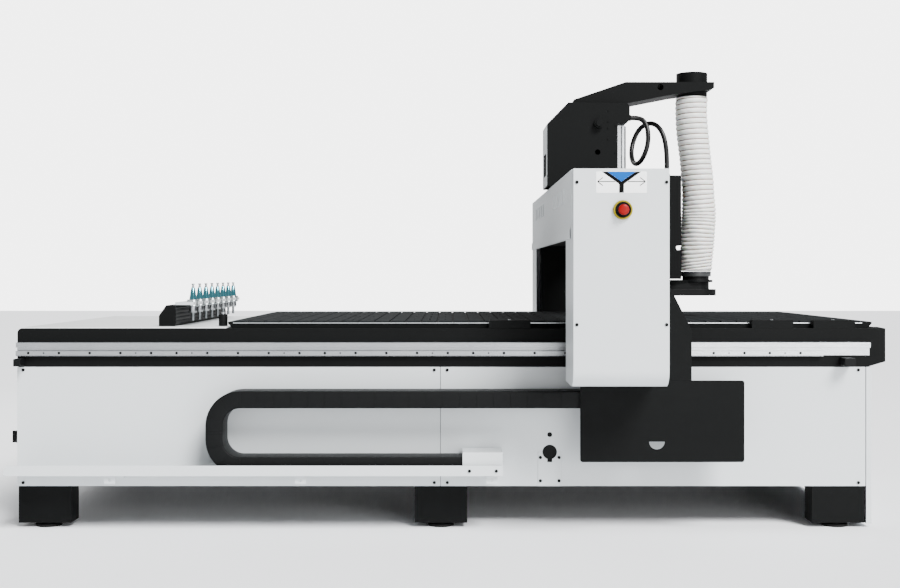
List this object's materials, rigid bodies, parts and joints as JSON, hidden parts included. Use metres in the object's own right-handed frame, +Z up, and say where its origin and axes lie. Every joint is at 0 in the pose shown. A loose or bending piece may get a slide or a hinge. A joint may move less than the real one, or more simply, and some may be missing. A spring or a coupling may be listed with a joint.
{
  "type": "cnc router",
  "caption": "Moving-gantry routing machine with a flat grooved table, a linear tool rack, a lifting spindle head with a dust hose, and a cable chain along its side.",
  "frame": {"origin": "centre of the whole machine's footprint, on the floor", "axes": "+X along the bed away from the tool rack, +Y towards the side without the cable chain, +Z up"},
  "size_m": [3.59, 2.3486, 1.962],
  "materials": {
    "white_enamel": "smooth satin light grey-white powder coat",
    "black_enamel": "fine-textured black powder coat",
    "deck_grey": "satin light grey paint",
    "black_board": "grooved phenolic board",
    "steel": "ground and brushed steel",
    "chrome": "polished chrome steel",
    "aluminium": "anodised aluminium",
    "black_plastic": "moulded black nylon",
    "rubber": "matte rubber",
    "red_plastic": "glossy red plastic",
    "yellow_plastic": "glossy yellow plastic",
    "label": "printed plate",
    "hose": "wire-wound translucent film"
  },
  "bodies": {
    "base": {"bed_frame": "black_enamel", "machine_feet": "black_enamel", "levelling_pads": "rubber", "side_panels": "white_enamel", "cable_entry_plate": "white_enamel", "end_panels": "white_enamel", "panel_screws": "black_plastic", "bed_plate": "deck_grey", "table_frame": "black_enamel", "vacuum_table": "black_board", "linear_rails": "steel", "gear_racks": "steel", "end_stops": "black_plastic", "chain_tray": "white_enamel", "drag_chain_lower": "black_plastic", "tool_rack_body": "black_enamel", "tool_forks": "white_enamel", "tool_sensor_body": "black_plastic"},
    "isolator_switch": {"isolator_knob": "black_plastic"},
    "pins": {"locating_pins": "steel"},
    "sensor_plunger": {"tool_sensor_plunger": "steel"},
    "chain_bend_low": {"drag_chain_bend_lower": "black_plastic"},
    "chain_bend_high": {"drag_chain_bend_upper": "black_plastic"},
    "gantry": {"gantry_legs": "black_enamel", "gantry_beam": "black_enamel", "side_covers": "white_enamel", "back_cover": "white_enamel", "rail_carriages": "black_enamel", "drive_motors": "black_plastic", "chain_bracket": "black_enamel", "drag_chain_upper": "black_plastic", "cross_rails": "steel", "travel_label": "label", "estop_collar": "yellow_plastic", "cover_screws": "black_plastic"},
    "pinions": {"drive_pinions": "steel"},
    "cross_drive_screw": {"cross_screw": "steel"},
    "stop_stem": {"estop_stem": "black_plastic"},
    "stop_button": {"estop_button": "red_plastic"},
    "carriage": {"carriage_saddle": "black_enamel", "carriage_housing": "black_enamel", "dust_arm": "black_enamel", "balance_cylinder": "aluminium", "z_motor": "black_plastic", "head_cable": "rubber"},
    "lift_screw": {"z_screw": "steel"},
    "head": {"head_frame": "black_enamel", "balance_rod": "chrome", "spindle_body": "aluminium", "dust_shoe": "black_plastic", "dust_hose": "hose"},
    "spindle": {"spindle_shaft": "chrome"},
    "tool_1": {"tool_holder_1": "chrome"},
    "tool_2": {"tool_holder_2": "chrome"},
    "tool_3": {"tool_holder_3": "chrome"},
    "tool_4": {"tool_holder_4": "chrome"},
    "tool_5": {"tool_holder_5": "chrome"},
    "tool_6": {"tool_holder_6": "chrome"},
    "tool_7": {"tool_holder_7": "chrome"},
    "tool_8": {"tool_holder_8": "chrome"}
  },
  "joints": [
    {"name": "gantry_travel", "type": "slide", "parent": "base", "child": "gantry", "axis": [1, 0, 0], "range_m": [-1.6, 0.6], "deforming": ["drag_chain_lower", "drag_chain_upper"]},
    {"name": "chain_bend_low_follow", "type": "slide", "parent": "base", "child": "chain_bend_low", "axis": [1, 0, 0], "range_m": [-0.8, 0.3]},
    {"name": "chain_bend_high_follow", "type": "slide", "parent": "gantry", "child": "chain_bend_high", "axis": [1, 0, 0], "range_m": [-0.3, 0.8]},
    {"name": "pinion_turn", "type": "hinge", "parent": "gantry", "child": "pinions", "pos_m": [0.735, 0.02, 0.67665], "axis": [0, -1, 0], "range_deg": [-3680, 1380]},
    {"name": "carriage_travel", "type": "slide", "parent": "gantry", "child": "carriage", "axis": [0, 1, 0], "range_m": [-0.65, 0.65]},
    {"name": "cross_screw_turn", "type": "hinge", "parent": "gantry", "child": "cross_drive_screw", "pos_m": [0.748, 0.02, 1.297], "axis": [0, 1, 0], "range_deg": [-11710, 11710]},
    {"name": "head_lift", "type": "slide", "parent": "carriage", "child": "head", "axis": [0, 0, 1], "range_m": [-0.085, 0.15], "deforming": ["dust_hose", "head_cable"]},
    {"name": "lift_screw_turn", "type": "hinge", "parent": "carriage", "child": "lift_screw", "pos_m": [0.793, 0.06, 1.4], "axis": [0, 0, 1], "range_deg": [-3070, 5410]},
    {"name": "spindle_spin", "type": "hinge", "parent": "head", "child": "spindle", "pos_m": [0.957, 0.02, 1.2], "axis": [0, 0, 1], "continuous": true},
    {"name": "stop_push", "type": "slide", "parent": "gantry", "child": "stop_stem", "axis": [0, 1, 0], "range_m": [0, 0.006]},
    {"name": "stop_release_twist", "type": "hinge", "parent": "stop_stem", "child": "stop_button", "pos_m": [0.658, -1.163, 1.272], "axis": [0, -1, 0], "range_deg": [0, 45], "stiffness_Nm_per_rad": 0.5},
    {"name": "isolator_turn", "type": "hinge", "parent": "base", "child": "isolator_switch", "pos_m": [-1.77, -0.59, 0.361], "axis": [-1, 0, 0], "range_deg": [0, 90]},
    {"name": "pins_rise", "type": "slide", "parent": "base", "child": "pins", "axis": [0, 0, 1], "range_m": [0, 0.02]},
    {"name": "sensor_press", "type": "slide", "parent": "base", "child": "sensor_plunger", "axis": [0, 0, -1], "range_m": [0, 0.004], "stiffness_N_per_m": 800},
    {"name": "tool_1_pull", "type": "slide", "parent": "base", "child": "tool_1", "axis": [1, 0, 0], "range_m": [0, 0.06]},
    {"name": "tool_2_pull", "type": "slide", "parent": "base", "child": "tool_2", "axis": [1, 0, 0], "range_m": [0, 0.06]},
    {"name": "tool_3_pull", "type": "slide", "parent": "base", "child": "tool_3", "axis": [1, 0, 0], "range_m": [0, 0.06]},
    {"name": "tool_4_pull", "type": "slide", "parent": "base", "child": "tool_4", "axis": [1, 0, 0], "range_m": [0, 0.06]},
    {"name": "tool_5_pull", "type": "slide", "parent": "base", "child": "tool_5", "axis": [1, 0, 0], "range_m": [0, 0.06]},
    {"name": "tool_6_pull", "type": "slide", "parent": "base", "child": "tool_6", "axis": [1, 0, 0], "range_m": [0, 0.06]},
    {"name": "tool_7_pull", "type": "slide", "parent": "base", "child": "tool_7", "axis": [1, 0, 0], "range_m": [0, 0.06]},
    {"name": "tool_8_pull", "type": "slide", "parent": "base", "child": "tool_8", "axis": [1, 0, 0], "range_m": [0, 0.06]}
  ],
  "couplings": [
    {"joint": "chain_bend_low_follow", "follows": "gantry_travel", "ratio": 0.5},
    {"joint": "chain_bend_high_follow", "follows": "gantry_travel", "ratio": -0.5},
    {"joint": "pinion_turn", "follows": "gantry_travel", "rad_per_m": 40},
    {"joint": "cross_screw_turn", "follows": "carriage_travel", "rad_per_m": 314.16},
    {"joint": "lift_screw_turn", "follows": "head_lift", "rad_per_m": 628.32}
  ]
}
